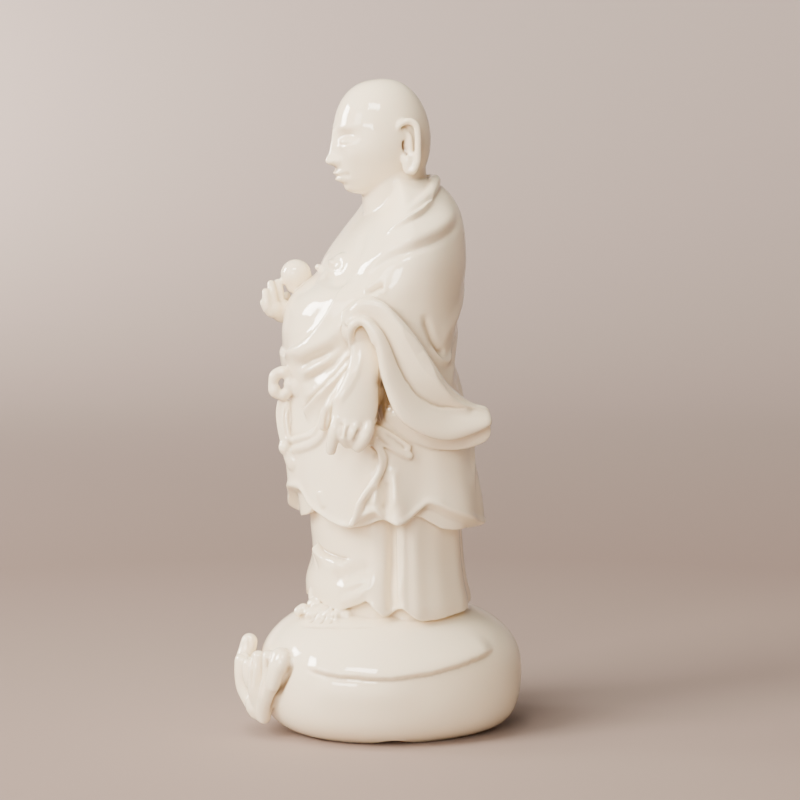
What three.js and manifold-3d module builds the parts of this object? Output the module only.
// A standing budai in white glazed porcelain, fired as one piece with the cloth sack under its feet.
// Millimetres, Z up. The figure faces -Y and its left side is +X.
// The origin is on the flat underside of the sack, below the figure's axis.

import * as THREE from 'three';
import { mergeVertices } from 'three/addons/utils/BufferGeometryUtils.js';
import Module from 'manifold-3d';

// Driving dimensions of the figure
const figureHeight = 262;
const ballDiameter = 15.5;
const cordDiameter = 3.6;
const ribbonWidth = 6;
const collarWidth = 8;
const collarThickness = 5.5;
const shoulderRollWidth = 11;
const waistFoldWidth = 7;
const sleeveThickness = 3.6;
const cuffDiameter = 4.2;
const knotHeight = 17;
const knotWidth = 14;
const knotTubeDiameter = 5.7;
const toeDiameter = 4.8;

// Driving dimensions of the sack
const sackHeight = 67;
const sackLength = 133;
const sackWidth = 125;
const sackWidestHeight = 30;
const sackGrooveDiameter = 3.2;
const sackPleatDiameter = 10;
const archWidth = 19;
const archHeight = 2.6;
const archDepth = 40;

// The figure is drawn on a canon of 262 units from sole to crown, and one unit is this long
const canonUnits = 262;
const unit = figureHeight / canonUnits;

// The soles press a little into the cloth of the sack
const soleSink = 4.5;
const soleHeight = sackHeight - soleSink;

const degrees = Math.PI / 180;

// A smooth function through rows of a height followed by values
function smoothRows(rows) {
  const heights = rows.map((row) => row[0]);
  const values = rows.flatMap((row) => row.slice(1));
  const size = rows[0].length - 1;
  const curve = new THREE.CubicInterpolant(heights, values, size, new Float32Array(size));
  const lowest = heights[0];
  const highest = heights[heights.length - 1];
  return (height) => Array.from(curve.evaluate(THREE.MathUtils.clamp(height, lowest, highest)));
}

// A rounded hump, 1 in its middle and fading over its width
function hump(distance, width) {
  return Math.exp(-((distance / width) ** 2));
}

// A power that keeps the sign, for squared ovals
function signedPower(value, power) {
  return Math.sign(value) * Math.abs(value) ** power;
}

// Turns a body that came out inside out
function facingOut(positions, indices) {
  let volume = 0;
  const a = new THREE.Vector3();
  const b = new THREE.Vector3();
  const c = new THREE.Vector3();
  for (let i = 0; i < indices.length; i += 3) {
    a.fromArray(positions, indices[i] * 3);
    b.fromArray(positions, indices[i + 1] * 3);
    c.fromArray(positions, indices[i + 2] * 3);
    volume += a.dot(b.cross(c));
  }
  if (volume > 0) {
    return indices;
  }
  return indices.toReversed();
}

// A closed body of rings: ringPoint(level, turn) runs from 0 to 1 along the body and around it
function ringBody(levels, sides, ringPoint, firstMiddle, lastMiddle) {
  const positions = [];
  const indices = [];
  for (let level = 0; level <= levels; level += 1) {
    for (let side = 0; side < sides; side += 1) {
      positions.push(...ringPoint(level / levels, side / sides).toArray());
    }
  }
  const middleOf = (ring) => {
    const middle = new THREE.Vector3();
    for (let side = 0; side < sides; side += 1) {
      middle.add(new THREE.Vector3().fromArray(positions, (ring * sides + side) * 3));
    }
    return middle.divideScalar(sides);
  };
  const first = (levels + 1) * sides;
  const last = first + 1;
  positions.push(...(firstMiddle ?? middleOf(0)).toArray());
  positions.push(...(lastMiddle ?? middleOf(levels)).toArray());
  for (let side = 0; side < sides; side += 1) {
    const next = (side + 1) % sides;
    for (let level = 0; level < levels; level += 1) {
      const here = level * sides;
      const above = here + sides;
      indices.push(here + side, here + next, above + next);
      indices.push(here + side, above + next, above + side);
    }
    const top = levels * sides;
    indices.push(first, next, side);
    indices.push(last, top + side, top + next);
  }
  const geometry = new THREE.BufferGeometry();
  geometry.setAttribute('position', new THREE.Float32BufferAttribute(positions, 3));
  geometry.setIndex(facingOut(positions, indices));
  return geometry;
}

// An oval lump with its own three half-lengths, turned and set in its place
function lump(place, halfX, halfY, halfZ, turn = new THREE.Euler(), detail = 10) {
  const geometry = new THREE.SphereGeometry(1, detail, Math.round(detail * 0.7));
  const matrix = new THREE.Matrix4().compose(
    place,
    new THREE.Quaternion().setFromEuler(turn),
    new THREE.Vector3(halfX, halfY, halfZ),
  );
  return geometry.applyMatrix4(matrix);
}

// A round or oval bar along a smooth route, with a radius that may change on the way
function bar(route, radiusAt, steps, sides, flatness = 1, faceFrom = new THREE.Vector3(0, 0, 1)) {
  const curve = new THREE.CatmullRomCurve3(route, false, 'centripetal');
  return ringBody(steps, sides, (level, turn) => {
    const place = curve.getPointAt(level);
    const along = curve.getTangentAt(level);
    const out = place.clone().sub(faceFrom);
    out.addScaledVector(along, -out.dot(along)).normalize();
    const across = new THREE.Vector3().crossVectors(along, out);
    const radius = radiusAt(level);
    place.addScaledVector(across, radius * Math.cos(turn * 2 * Math.PI));
    return place.addScaledVector(out, radius * flatness * Math.sin(turn * 2 * Math.PI));
  });
}

// A place in the figure's canon units: left, back and height above the soles
function at(left, back, height) {
  return new THREE.Vector3(left, back, height).multiplyScalar(unit);
}

// The outer robe from its hem to the neck: height, half width, reach to the front and to the back
const robeForm = smoothRows([
  [38, 51, 44, 43],
  [51, 51, 45.5, 43],
  [75, 48, 48, 39],
  [104, 46, 48, 32.5],
  [126, 47, 52, 27],
  [140, 48, 52.5, 29],
  [156, 48, 46.5, 31.7],
  [166, 48, 33.5, 34.3],
  [173, 48, 29, 35.5],
  [181, 46.5, 22.5, 35.8],
  [188, 43.5, 16.5, 35.6],
  [200, 33, 6.5, 33],
  [208, 24, 2.5, 27.5],
  [213, 16, 1, 20.5],
]);
const robeTop = 213;
const robeSquareness = 0.93;

// The robe's open border leaves the bare chest and belly in front: height and angle from the front.
// On the right side it lies further round.
const borderForm = smoothRows([
  [126, -2],
  [132, 17],
  [138.5, 29],
  [145, 35],
  [151, 38.5],
  [158, 38],
  [173, 36],
  [183, 27],
  [190, 15],
  [205, 14],
]);
const farBorderShare = 0.42;
const borderFoot = 126;
const clothStep = 2;

// Long soft folds cross the back: each starts and ends at an angle and a height, with its height
// above the cloth and its width
const backFolds = [0, 1, 2, 3].map((order) => ({
  from: { angle: 225 - order * 8, height: 186 - order * 14 },
  to: { angle: 118 + order * 6, height: 138 - order * 24 },
  lift: 2.2,
  width: 6,
}));

// The upper arms round out the robe between the shoulder and the elbow
const armRound = { angle: 84, height: 170, lift: 5, halfSpread: 26, halfLength: 23 };

function armLift(fromFront, height) {
  const around = hump(fromFront - armRound.angle, armRound.halfSpread);
  return armRound.lift * around * hump(height - armRound.height, armRound.halfLength);
}

// How high the back folds stand at one angle and height on the robe
function foldLift(angle, height, halfWidth) {
  let lift = 0;
  for (const fold of backFolds) {
    const span = fold.to.angle - fold.from.angle;
    const share = THREE.MathUtils.clamp((angle - fold.from.angle) / span, 0, 1);
    const line = THREE.MathUtils.lerp(fold.from.height, fold.to.height, share);
    const beside = Math.abs(angle - THREE.MathUtils.lerp(fold.from.angle, fold.to.angle, share));
    const distance = Math.hypot(height - line, beside * degrees * halfWidth);
    lift += fold.lift * hump(distance, fold.width) * Math.sin(Math.PI * (0.15 + 0.7 * share));
  }
  return lift;
}

// The hem's rolled crest goes up and down round the robe: angle and height
const crestForm = smoothRows([
  [-45, 46],
  [-25, 49],
  [-4, 60],
  [12, 60],
  [26, 50.5],
  [44, 45],
  [55, 49],
  [64.5, 53.5],
  [75, 47],
  [84, 49.5],
  [95, 56.5],
  [108, 52.5],
  [122, 48.5],
  [136, 44.5],
  [152, 43],
  [168, 48],
  [182, 44],
  [203, 50],
  [222, 45],
  [243, 51],
  [262, 45.5],
  [284, 52],
  [300, 47],
  [315, 46],
]);

// Where the crest rises, the cloth behind it still hangs to about this height
const hemLowest = 46.5;
const hemRecess = 4.5;
const hemRoll = 1.1;

// Angles are read from -45 degrees all the way round
function roundAngle(angle) {
  return THREE.MathUtils.euclideanModulo(angle + 45, 360) - 45;
}

function crestHeight(angle) {
  return crestForm(roundAngle(angle))[0];
}

// Flutes swell and hollow the hem, and fade upwards: angle, half width and lift
const robeFlutes = [
  [20, 9, 1.6],
  [45, 14, 1],
  [65, 5, 1.4],
  [77, 6, 2.6],
  [91, 8, -2.2],
  [122, 13, 2.4],
  [148, 10, 1.6],
  [168, 8, -1.4],
  [184, 9, 2.6],
  [203, 8, -2.2],
  [222, 10, 2.6],
  [243, 8, -2.2],
  [263, 11, 2.4],
  [284, 8, -2.4],
  [303, 10, 2],
  [335, 10, 1.2],
];

function fluted(flutes, angle) {
  let lift = 0;
  for (const [middle, halfWidth, height] of flutes) {
    const beside = THREE.MathUtils.euclideanModulo(angle - middle + 180, 360) - 180;
    lift += height * hump(beside, halfWidth);
  }
  return lift;
}

function fluteLift(angle, height) {
  const nearHem = THREE.MathUtils.clamp((104 - height) / 56, 0, 1);
  return fluted(robeFlutes, angle) * nearHem ** 1.4;
}

// A point on the robe, with the angle from the front towards the figure's left, in degrees
function robePoint(angle, height, lift = 0) {
  const [halfWidth, front, back] = robeForm(height);
  const sine = Math.sin(angle * degrees);
  const cosine = Math.cos(angle * degrees);
  const x = signedPower(sine, robeSquareness);
  const y = -signedPower(cosine, robeSquareness);
  const reach = cosine > 0 ? front : back;
  return at((halfWidth + lift) * x, (reach + lift) * y, height);
}

// The first two rings are the lowest cloth and the rolled crest of the hem in front of it
const robeLevels = 19;

function robe() {
  return ringBody(robeLevels, 30, (level, turn) => {
    const angle = turn * 360;
    const ring = Math.round(level * robeLevels);
    const crest = crestHeight(angle);
    if (ring === 0) {
      const lowest = Math.min(hemLowest, crest - 0.6);
      return robePoint(angle, lowest, fluteLift(angle, crest) - hemRecess);
    }
    const height = THREE.MathUtils.lerp(crest, robeTop, (ring - 1) / (robeLevels - 1));
    const [halfWidth] = robeForm(height);
    const fromFront = angle > 180 ? 360 - angle : angle;
    const fromMiddle = angle > 180 ? fromFront * farBorderShare : fromFront;
    const [border] = borderForm(height);
    const covered = height < borderFoot ? 1 : THREE.MathUtils.smoothstep(fromMiddle, border - 4, border + 3);
    const roll = ring === 1 ? hemRoll : 0;
    const folds = foldLift(angle, height, halfWidth) + fluteLift(angle, height);
    return robePoint(angle, height, clothStep * covered + folds + roll + armLift(fromFront, height));
  }, at(0, 0, 62));
}

// A place on the outside of the arm and the cloth over it
function onShoulder(angle, height, lift) {
  return robePoint(angle, height, lift + armLift(Math.abs(angle), height));
}

// The collar is a roll of cloth that runs from behind the neck down over both shoulders
function collar() {
  const left = [[60, 190], [72, 194], [87, 197], [100, 201], [114, 205], [130, 208.5], [150, 211]]
    .map(([angle, height]) => onShoulder(angle, height, 2));
  const right = left.map((place) => new THREE.Vector3(-place.x, place.y, place.z));
  const route = [...left, at(0, 23.5, 212), ...right.toReversed()];
  const endShare = 0.35;
  return bar(
    route,
    (level) => (collarWidth / 2) * THREE.MathUtils.lerp(endShare, 1, Math.sin(Math.PI * level) ** 0.7),
    14,
    4,
    collarThickness / collarWidth,
    at(0, 2, 170),
  );
}

// Below the collar the robe lies over itself: a broad soft roll from the breast to the back
function shoulderRoll(side) {
  const route = [[50, 158], [54, 168], [63, 176], [80, 182], [98, 186.5], [115, 190.5], [135, 197]]
    .map(([angle, height]) => onShoulder(angle * side, height, 0.8));
  const radius = shoulderRollWidth / 2;
  return bar(route, (level) => radius * Math.sin(Math.PI * (0.12 + 0.74 * level)), 7, 4, 0.72, at(0, 0, 175));
}

// Folds fan from the left cuff round the belly to the knot of the sash
const cuffGather = { angle: 58, height: 148 };

function waistFolds() {
  return [125, 116, 106, 93].map((height, order) => {
    const route = [0, 0.35, 0.7, 1].map((share) => robePoint(
      THREE.MathUtils.lerp(cuffGather.angle, -3 + 3 * order, share),
      THREE.MathUtils.lerp(cuffGather.height - 5 * order, height, share ** 0.75),
      1.4,
    ));
    const radius = waistFoldWidth / 2;
    return bar(route, (level) => radius * Math.sin(Math.PI * (0.2 + 0.68 * level)), 4, 4, 0.75, at(0, 0, 125));
  });
}

// The underskirt: height, half width, reach to the front and to the back
const underskirtForm = smoothRows([
  [-8, 44, 38, 41],
  [4, 45, 39.5, 41.5],
  [12, 44, 40, 38],
  [26, 42.5, 36.5, 36],
  [40, 42, 37.5, 35],
  [72, 42, 40, 33],
]);

function underskirtPoint(angle, height, lift) {
  const [halfWidth, front, back] = underskirtForm(height);
  const cosine = Math.cos(angle * degrees);
  const reach = cosine > 0 ? front : back;
  return at((halfWidth + lift) * Math.sin(angle * degrees), -(reach + lift) * cosine, height);
}

// The hem of the underskirt lifts over the feet and sinks beside them: angle and height
const underskirtHem = smoothRows([
  [-45, 1.5],
  [-20, 4],
  [-3, 7],
  [17, 4],
  [34, 2],
  [45, 4.5],
  [56, 7.5],
  [63.5, 2],
  [71, 1],
  [79, 4.5],
  [90, 1.5],
  [111, 0],
  [142, 1],
  [185, 2.5],
  [205, 0.5],
  [228, 3],
  [246, 0.5],
  [262, 5],
  [276, 1.5],
  [295, 3.5],
  [315, 1.5],
]);

// Its pleats, with a deep one on each side: angle, half width and lift
const underskirtPleats = [
  [60, 6, 1.1],
  [72, 5, -3.8],
  [79, 4, 2.4],
  [95, 12, 0.8],
  [132, 10, 1.4],
  [154, 8, -1.6],
  [172, 9, 1.6],
  [194, 8, -1.8],
  [214, 9, 1.8],
  [236, 7, -2.2],
  [254, 8, 2],
  [272, 6, -3.4],
  [286, 7, 2],
  [318, 12, 0.8],
];
const knee = { angle: 30, halfWidth: 18, height: 36, halfHeight: 7, lift: 1.8 };
const underskirtTop = 72;
const legsTop = 20;
const legsFoot = -9;
const legsInset = 3.2;

function underskirt() {
  return ringBody(4, 30, (level, turn) => {
    const angle = turn * 360;
    const fromFront = angle > 180 ? 360 - angle : angle;
    const height = THREE.MathUtils.lerp(underskirtHem(roundAngle(angle))[0], underskirtTop, level);
    const kneeLift = knee.lift * hump(fromFront - knee.angle, knee.halfWidth);
    const lift = 1 + fluted(underskirtPleats, angle) + kneeLift * hump(height - knee.height, knee.halfHeight);
    return underskirtPoint(angle, height, lift);
  }, at(0, 0, 8));
}

// The part of the legs that stands on the sack inside the hem
function legs() {
  return ringBody(1, 20, (level, turn) => {
    const height = THREE.MathUtils.lerp(legsFoot, legsTop, level);
    const behindPleat = 3.5 * hump(turn * 360 - 72, 9);
    return underskirtPoint(turn * 360, height, -legsInset - behindPleat);
  });
}

// A foot that points a little outwards, with its toes spread on the sack
function foot(side, ball, outward) {
  const turn = outward * degrees * side;
  const facing = new THREE.Euler(18 * degrees, 0, turn, 'ZYX');
  const ahead = new THREE.Vector3(Math.sin(turn), -Math.cos(turn), 0);
  const across = new THREE.Vector3(Math.cos(turn), Math.sin(turn), 0);
  const parts = [lump(ball, 10 * unit, 12 * unit, 6.5 * unit, new THREE.Euler(0, 0, turn), 7)];
  for (const toe of [0, 1, 2, 3, 4]) {
    const radius = toeDiameter / 2 * (toe === 0 ? 1.25 : 1);
    const place = ball.clone();
    place.addScaledVector(across, (toe - 2) * 4.8 * unit * side);
    place.addScaledVector(ahead, (10 - Math.abs(toe - 1.5)) * unit);
    place.z = -1.2 * unit;
    parts.push(lump(place, radius, 6.5 * unit, radius * 1.15, facing, 5));
  }
  return parts;
}

// The head: a bald, rounded oval that narrows to the jaw, bowed a little forward
const headMiddle = at(0, -3, 233.6);
const headHalfWidth = 23 * unit;
const headHalfDepth = 24.2 * unit;
const headHalfHeight = 28.5 * unit;
const headBow = new THREE.Euler(7 * degrees, 0, 0);

// A place on the head, given as left, front and up from the middle of the head
function onHead(left, front, up) {
  return new THREE.Vector3(left, -front, up).multiplyScalar(unit).applyEuler(headBow).add(headMiddle);
}

function headParts() {
  const skull = ringBody(10, 16, (level, turn) => {
    const rise = (level - 0.5) * Math.PI * 0.985;
    const around = turn * 2 * Math.PI;
    const up = Math.sin(rise);
    const jaw = 1 - 0.08 * THREE.MathUtils.smoothstep(-up, 0.05, 1);
    const ring = Math.cos(rise) ** 0.84;
    const place = new THREE.Vector3(
      headHalfWidth * jaw * ring * Math.sin(around),
      headHalfDepth * ring * Math.cos(around),
      headHalfHeight * up,
    );
    return place.applyEuler(headBow).add(headMiddle);
  });
  const parts = [skull];
  parts.push(bar(
    [onHead(0, 22.2, 5), onHead(0, 24, -2), onHead(0, 26.6, -8), onHead(0, 23, -11.4)],
    (level) => (1.8 + 1.8 * level) * unit,
    4,
    5,
    1,
    headMiddle,
  ));
  parts.push(lump(onHead(0, 11.5, -17.5), 15 * unit, 12.5 * unit, 10.5 * unit, headBow, 10));
  parts.push(lump(onHead(0, 23.4, -15.4), 6 * unit, 2.6 * unit, 1.5 * unit, headBow, 6));
  parts.push(lump(onHead(0, 22.6, -18.4), 5 * unit, 3 * unit, 1.6 * unit, headBow, 6));
  parts.push(lump(onHead(0, 17.5, -24.2), 7.5 * unit, 4.4 * unit, 3.8 * unit, headBow, 6));
  for (const side of [-1, 1]) {
    parts.push(lump(onHead(9.2 * side, 19.6, -0.2), 4.8 * unit, 3.4 * unit, 2.7 * unit, headBow, 6));
    parts.push(lump(onHead(12 * side, 13, -8), 8 * unit, 8.4 * unit, 8 * unit, headBow, 7));
    parts.push(bar(
      [onHead(3 * side, 23.4, 5.4), onHead(9 * side, 21.6, 7.4), onHead(16 * side, 16.2, 5.4)],
      () => 1.6 * unit,
      3,
      4,
      1,
      headMiddle,
    ));
  }
  return parts;
}

// A long ear with a rolled rim and a heavy lobe
function ear(side) {
  const mirrored = ([left, back, height]) => at(left * side, back, height);
  const rim = [
    [20, -1, 229.5], [21.3, -2.5, 235.5], [23.4, 1, 240.5], [25.3, 5.8, 239.5], [25.6, 7.5, 234],
    [25.6, 7.5, 225], [25, 5.8, 217], [23, 2.2, 216.8], [21.6, 1.2, 223.5],
  ].map(mirrored);
  return [
    bar(rim, (level) => (1.7 + 0.9 * level) * unit, 10, 4, 1, headMiddle),
    lump(mirrored([20.6, 4, 227.5]), 3.2 * unit, 5.4 * unit, 13 * unit, headBow, 6),
  ];
}

const neckFoot = 192;
const neckTop = 222;

function neck() {
  return ringBody(1, 12, (level, turn) => {
    const height = THREE.MathUtils.lerp(neckFoot, neckTop, level);
    const around = turn * 2 * Math.PI;
    return at(18 * Math.sin(around), 5 - level * 3 + 16.5 * Math.cos(around), height);
  });
}

// A full breast with a small bead on it
function breast(place, bead) {
  return [
    lump(place, 8.5 * unit, 5 * unit, 7.5 * unit, new THREE.Euler(-15 * degrees, 0, 0), 8),
    lump(bead, 1.8 * unit, 1.8 * unit, 1.8 * unit, new THREE.Euler(), 5),
  ];
}

// The left sleeve hangs open from the wrist and swings back to a point. Its rails run from the
// cuff to the point: where it leaves the robe, its crest, the groove under the crest, its free
// edge, and the lower edge of its lining.
const sleeveRails = {
  top: [
    [40, -36, 149], [42, -25, 155.5], [44, -12, 148.5], [46, 1, 132.5], [46.5, 15.5, 113.5], [50.5, 36, 101.5],
  ],
  crest: [
    [50, -35, 151], [54.5, -30.5, 155.5], [61, -18, 151], [64.5, -6, 136.5], [61.5, 10.5, 113.5],
    [53.5, 35.5, 101],
  ],
  groove: [
    [51, -34, 148], [57.5, -23, 143.5], [60.5, -14, 124], [60.5, -8, 114], [57, 14, 103], [54.5, 35.5, 100],
  ],
  edge: [
    [50, -35.5, 143], [56, -32, 146.5], [62.5, -25, 132], [63, -19.5, 110.5], [63.5, -2, 91.5], [58.5, 34, 94],
  ],
  lining: [
    [45, -33.5, 139], [46, -27.5, 142], [46.5, -19, 109.5], [48, -7.5, 88.5], [50, 14, 81.5], [52, 36, 86.5],
  ],
};
const sleeveTip = { startLevel: 0.9, narrowing: 0.4 };

function sleeve() {
  const curves = {};
  for (const [name, route] of Object.entries(sleeveRails)) {
    const places = route.map(([left, back, height]) => at(left, back, height));
    curves[name] = new THREE.CatmullRomCurve3(places, false, 'centripetal');
  }
  const inward = new THREE.Vector3(-1, 0, 0);
  const section = (level) => {
    const top = curves.top.getPointAt(level);
    const crest = curves.crest.getPointAt(level);
    const groove = curves.groove.getPointAt(level);
    const edge = curves.edge.getPointAt(level);
    const lining = curves.lining.getPointAt(level);
    const inside = edge.clone().addScaledVector(inward, sleeveThickness);
    const hollow = inside.clone().lerp(lining, 0.45);
    hollow.lerp(crest, 0.2);
    const back = lining.clone().lerp(top, 0.15).addScaledVector(inward, sleeveThickness);
    return [
      top,
      top.clone().lerp(crest, 0.55).addScaledVector(new THREE.Vector3(0, 0, 1), 1.4 * unit),
      crest,
      crest.clone().lerp(groove, 0.55).add(at(0.9, 0, 0)),
      groove,
      groove.clone().lerp(edge, 0.4).add(at(1.8, 0, 0)),
      groove.clone().lerp(edge, 0.8).add(at(1.6, 0, 0)),
      edge,
      inside,
      hollow,
      lining.clone().add(at(1.2, 0, 1.5)),
      lining,
      back,
    ];
  };
  const sides = section(0).length;
  return ringBody(12, sides, (level, turn) => {
    const ring = section(level);
    const middle = ring.reduce((sum, place) => sum.add(place), new THREE.Vector3()).divideScalar(sides);
    const inTip = THREE.MathUtils.smoothstep(level, sleeveTip.startLevel, 1);
    return ring[Math.round(turn * sides)].clone().lerp(middle, sleeveTip.narrowing * inTip);
  });
}

// The cuff ends in a rolled arch over the wrist, and is filled a little way in
function cuff() {
  const arch = [
    at(46, -33.5, 131.5), at(47.5, -34.5, 136), at(49.5, -34.5, 140), at(52.5, -33.5, 144),
    at(55, -31, 145.5), at(57, -28.5, 144.5), at(58.5, -26.5, 140), at(60, -25, 134.5),
  ];
  return [
    bar(arch, () => cuffDiameter / 2, 6, 4, 1, at(0, -20, 150)),
    lump(at(43, -29, 138.5), 7 * unit, 7 * unit, 8 * unit, new THREE.Euler(), 6),
  ];
}

// A finger along its knuckles
function finger(places, radius) {
  return bar(places, (level) => radius * unit * (1 - 0.25 * level ** 2), places.length - 1, 5);
}

// The left hand hangs from the cuff with its back outwards
function leftHand() {
  const parts = [];
  const palm = bar(
    [
      at(45.5, -28, 144.5), at(47.5, -28.5, 133.5), at(50, -28, 125.5), at(51, -29.5, 117),
      at(50.5, -32, 107.5), at(51, -33, 98), at(48.5, -33, 91),
    ],
    (level) => (5.2 + 6 * THREE.MathUtils.smoothstep(level, 0.15, 0.85)) * unit,
    6,
    8,
    0.5,
    at(0, -22, 120),
  );
  parts.push(palm);
  parts.push(finger([at(48, -37.5, 106.5), at(50.5, -41, 99), at(49.5, -44, 86.5), at(47, -44, 81)], 3.1));
  parts.push(finger([at(50, -34.5, 103), at(53, -37.5, 96.5), at(53, -39, 90), at(48, -35, 85.5)], 3));
  parts.push(finger([at(51, -31.5, 102), at(54, -33.5, 96), at(54.5, -35, 90), at(48.5, -32, 85.5)], 3));
  parts.push(finger([at(51, -27.5, 100.5), at(54.5, -28, 95), at(55, -30.5, 88), at(50.5, -32.5, 84)], 3.4));
  parts.push(finger([at(45, -32.5, 120.5), at(44.5, -38.5, 111.5), at(41.5, -44, 101), at(38, -45, 92)], 3.2));
  return parts;
}

// The right forearm comes round the belly under a plain hanging sleeve
function rightSleeve() {
  const parts = [];
  parts.push(bar(
    [at(-47, -4, 156), at(-48, -16, 150), at(-43, -30, 147)],
    () => 10 * unit,
    3,
    8,
  ));
  parts.push(ringBody(4, 10, (level, turn) => {
    const around = turn * 2 * Math.PI;
    const height = THREE.MathUtils.lerp(88, 152, level);
    const swing = 5 * Math.cos(turn * 6 * Math.PI) * (1 - level);
    const middle = THREE.MathUtils.lerp(-12, -16, level);
    return at(-46 + 7 * Math.sin(around), middle + (17 - 4 * level + swing) * Math.cos(around), height);
  }));
  return parts;
}

// The right hand lifts a ball before the chest, on open fingers
function rightHand() {
  const parts = [];
  parts.push(bar(
    [at(-42, -32, 147), at(-33, -42, 146), at(-26, -48, 147), at(-23, -52, 150)],
    (level) => (6.4 - 0.6 * level) * unit,
    4,
    6,
  ));
  parts.push(lump(at(-23.5, -52.5, 147.5), 4.5 * unit, 5.2 * unit, 4.6 * unit, new THREE.Euler(), 6));
  parts.push(finger([at(-24.5, -49.5, 146.5), at(-25.5, -49, 153), at(-28.5, -49.5, 162.5)], 2.6));
  parts.push(finger([at(-22.5, -52.5, 146.5), at(-22.5, -53, 153), at(-27, -53.5, 162)], 2.4));
  parts.push(finger([at(-21, -55, 147), at(-21.5, -56.5, 151.5), at(-24, -57, 158.5)], 2.2));
  parts.push(finger([at(-22.5, -56, 146), at(-23, -57.5, 150), at(-23.5, -59.5, 152.5)], 2));
  parts.push(finger([at(-29.5, -45.5, 149), at(-31, -44, 152), at(-32, -43, 156)], 2.4));
  const ballRadius = ballDiameter / 2;
  const seat = at(-25.5, -40.5, 156.7);
  const place = seat.clone();
  place.z += ballRadius;
  parts.push(lump(place, ballRadius, ballRadius, ballRadius, new THREE.Euler(), 10));
  place.z -= 0.55 * ballRadius;
  parts.push(lump(place, 0.72 * ballRadius, 0.72 * ballRadius, 0.72 * ballRadius, new THREE.Euler(), 6));
  return parts;
}

// A cord laid on the robe through places given as angle and height
function cordOnRobe(places, radius = cordDiameter / 2) {
  const route = places.map(([angle, height, lift = 0]) => robePoint(angle, height, 2.4 + lift));
  return bar(route, (level) => radius * (1 - 0.2 * level ** 3), places.length + 1, 4, 1, at(0, 0, 90));
}

// The sash: its knot below the belly, the hanging cords, a lower bow and the ends behind the hand
function sash() {
  const cordRadius = cordDiameter / 2;
  const tubeRadius = knotTubeDiameter / 2;
  const knot = new THREE.TorusGeometry(1, 1, 5, 9);
  const around = knot.getAttribute('position');
  const tube = new THREE.Vector3();
  for (let i = 0; i < around.count; i += 1) {
    tube.fromBufferAttribute(around, i);
    const turn = Math.atan2(tube.y, tube.x);
    const outward = Math.hypot(tube.x, tube.y) - 1;
    around.setXYZ(
      i,
      (knotWidth / 2 - tubeRadius + outward * tubeRadius) * Math.cos(turn),
      (knotHeight / 2 - tubeRadius + outward * tubeRadius) * Math.sin(turn),
      tube.z * tubeRadius,
    );
  }
  knot.rotateX(90 * degrees);
  knot.rotateZ(72 * degrees);
  const knotPlace = at(4, -56.5, 112.5);
  knot.translate(knotPlace.x, knotPlace.y, knotPlace.z);
  const lowerKnot = at(3.5, -54.5, 81);
  return [
    knot,
    lump(robePoint(8, 112, -1.5), 6.5 * unit, 5 * unit, 7.5 * unit, new THREE.Euler(), 6),
    bar([at(1, -55, 105), at(0.5, -56.5, 98), at(2, -56, 90.5), lowerKnot], () => cordRadius, 4, 5),
    bar([at(3, -52.5, 104), at(3.5, -54.5, 97.5), at(4.5, -54, 90), at(6, -53, 83)], () => cordRadius, 4, 5),
    lump(lowerKnot, 3.6 * unit, 3.2 * unit, 4 * unit, new THREE.Euler(), 6),
    bar([lowerKnot, at(4, -53, 77), at(7, -50.5, 69.5)], () => ribbonWidth / 2, 3, 5, 0.5, at(0, -20, 70)),
    cordOnRobe([[0, 83, 1.5], [15.5, 86.5], [27.5, 89.5], [36, 102]]),
    cordOnRobe([[-1, 79, 1.5], [15, 81.5], [26, 84.5], [35.5, 96]], cordRadius * 1.2),
    cordOnRobe([[60, 90, 1], [69.5, 84], [70.5, 73.5], [62.5, 63], [52, 47]]),
    cordOnRobe([[58, 87, 1], [67, 81], [67.5, 72], [59.5, 62], [48.5, 44.5]]),
    cordOnRobe([[62, 94.5, 1], [74, 90, 0.8], [86, 82.5, 0.3]], cordRadius * 1.15),
    cordOnRobe([[62, 91.5, 1], [75, 85, 0.8], [87, 79, 0.3]], cordRadius * 1.15),
  ];
}

// The sack's outline in one turn, as a share of its length and width
const sackHalfLength = sackLength / 2;
const sackHalfWidth = sackWidth / 2;
const sackUpper = sackHeight - sackWidestHeight;
const sackFlatten = 2.5;

// A point on the sack: angle from the front towards the left, and rise from -90 to 90 degrees
function sackPoint(angle, rise, lift = 0) {
  const cosine = Math.cos(rise * degrees);
  const sine = Math.sin(rise * degrees);
  const share = cosine ** (rise > 0 ? 0.84 : 0.42);
  const sag = 0.018 * Math.cos((angle - 40) * 3 * degrees) * cosine;
  const height = rise > 0
    ? sackWidestHeight + sackUpper * sine ** 0.9
    : sackWidestHeight + (sackWidestHeight + sackFlatten) * signedPower(sine, 0.78);
  return new THREE.Vector3(
    (sackHalfWidth + lift) * (share + sag) * Math.sin(angle * degrees),
    -(sackHalfLength + lift) * (share + sag) * Math.cos(angle * degrees),
    Math.max(height, 0),
  );
}

function sack() {
  return ringBody(10, 32, (level, turn) => {
    const rise = THREE.MathUtils.lerp(-88, 88, level);
    return sackPoint(turn * 360, rise);
  });
}

// A long groove sweeps round the left side of the sack, where the cloth folds over itself
function sackGroove() {
  const route = [];
  for (let angle = 24; angle <= 134; angle += 11) {
    const sweep = (angle - 68) / 64;
    route.push(sackPoint(angle, 6.6 + 14 * sweep ** 2, 0.4));
  }
  return bar(route, () => sackGrooveDiameter / 2, 14, 4);
}

// The gathered mouth of the sack: pleats that fan up from one pinch at the front. Each passes
// through places on the sack, as an angle, a rise and how far it stands off.
const pleatTaper = 0.5;

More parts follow.
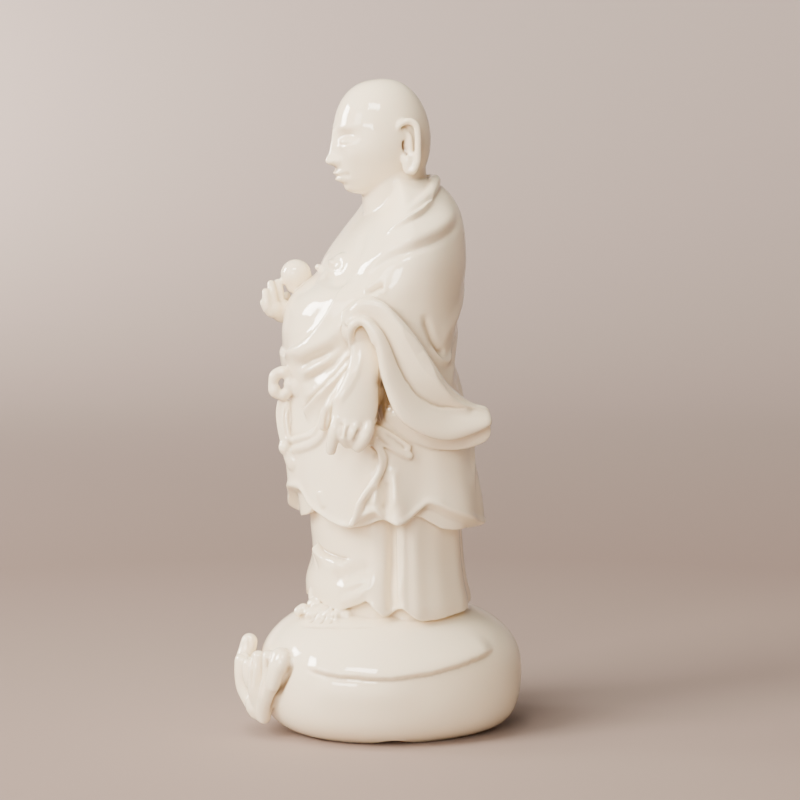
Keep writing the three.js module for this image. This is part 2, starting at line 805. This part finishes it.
function sackMouth() {
  const radius = sackPleatDiameter / 2;
  const pleats = [
    { size: 1.1, places: [[7, -38, 8.5], [11, -21, 5], [17.5, 0, 3.5], [21, 14, 3.5], [18, 25, 3.5]] },
    { size: 0.88, places: [[6, -34, 6.5], [7, -15, 5], [9, 7, 5.5], [8, 21, 7]] },
    { size: 0.92, places: [[3, -34, 7], [-1, -16, 6.5], [-4.5, 2, 9], [-4, 15, 9.5]] },
    { size: 0.9, places: [[-5.5, 3, 7], [-7, 13, 8], [-8, 28, 12]] },
    { size: 0.88, places: [[0, -33, 4], [-8, -18, 5], [-15, 0, 7], [-15.5, 11, 5]] },
    { size: 0.84, places: [[-4, -35, 2], [-14, -21, 1], [-25, 1, 0]] },
  ];
  return pleats.map(({ size, places }) => bar(
    places.map(([angle, rise, reach]) => sackPoint(angle, rise, reach)),
    (level) => radius * size * (1.12 - (2 * level - 1) ** 6 * pleatTaper),
    5,
    5,
    1,
    new THREE.Vector3(0, 0, sackWidestHeight),
  ));
}

// A low arch cut into the bottom edge on the left side, from this far off the middle
const archAngle = 76;
const archStart = 0.46 * sackHalfWidth;

function arch() {
  const shape = new THREE.Shape();
  shape.absellipse(0, 0, archWidth / 2, archHeight, 0, 2 * Math.PI, false, 0);
  const geometry = new THREE.ExtrudeGeometry(shape, { depth: archDepth, bevelEnabled: false, curveSegments: 12 });
  geometry.rotateX(Math.PI / 2);
  geometry.rotateZ(archAngle * degrees);
  geometry.translate(archStart * Math.sin(archAngle * degrees), -archStart * Math.cos(archAngle * degrees), 0);
  return geometry;
}

const wasm = await Module();
wasm.setup();

// One closed solid of a geometry
function solidOf(geometry) {
  const bare = geometry.clone();
  bare.deleteAttribute('normal');
  bare.deleteAttribute('uv');
  const merged = mergeVertices(bare, 1e-4);
  const triangles = [];
  const index = merged.getIndex().array;
  for (let i = 0; i < index.length; i += 3) {
    const [a, b, c] = [index[i], index[i + 1], index[i + 2]];
    if (a !== b && b !== c && c !== a) {
      triangles.push(a, b, c);
    }
  }
  return new wasm.Manifold(new wasm.Mesh({
    numProp: 3,
    vertProperties: new Float32Array(merged.getAttribute('position').array),
    triVerts: new Uint32Array(triangles),
  }));
}

function joined(geometries) {
  return geometries.map(solidOf).reduce((whole, piece) => whole.add(piece));
}

const figureParts = [
  robe(),
  collar(),
  shoulderRoll(1),
  shoulderRoll(-1),
  ...waistFolds(),
  underskirt(),
  legs(),
  ...foot(1, at(13, -34, 1.5), 38),
  ...foot(-1, at(-19, -22, 1), 26),
  ...headParts(),
  ...ear(1),
  ...ear(-1),
  neck(),
  ...breast(at(12, -30.5, 169.5), at(17.5, -34.5, 172.3)),
  ...breast(at(-13, -26.5, 170), at(-12.5, -32, 169.5)),
  sleeve(),
  ...cuff(),
  ...leftHand(),
  ...rightSleeve(),
  ...rightHand(),
  ...sash(),
];
for (const part of figureParts) {
  part.translate(0, 0, soleHeight);
}

const sackSolid = joined([sack(), ...sackMouth()]).subtract(solidOf(sackGroove())).subtract(solidOf(arch()));

// The pieces are pressed together while soft, so no pocket stays sealed between them
const shells = joined(figureParts).add(sackSolid).decompose();
const whole = shells.reduce((larger, shell) => (shell.volume() > larger.volume() ? shell : larger));

const { vertProperties, triVerts, numProp } = whole.getMesh();
const figureGeometry = new THREE.BufferGeometry();
if (numProp !== 3) {
  throw new Error('the joined body should hold positions alone');
}
figureGeometry.setAttribute('position', new THREE.BufferAttribute(vertProperties, 3));
figureGeometry.setIndex(new THREE.BufferAttribute(triVerts, 1));
figureGeometry.computeVertexNormals();

const whiteGlaze = new THREE.MeshStandardMaterial({ color: 0xebe4da, roughness: 0.12, metalness: 0 });

const figure = new THREE.Mesh(figureGeometry, whiteGlaze);
figure.name = 'budai_figure';

const group = new THREE.Group();
group.add(figure);

export default group;
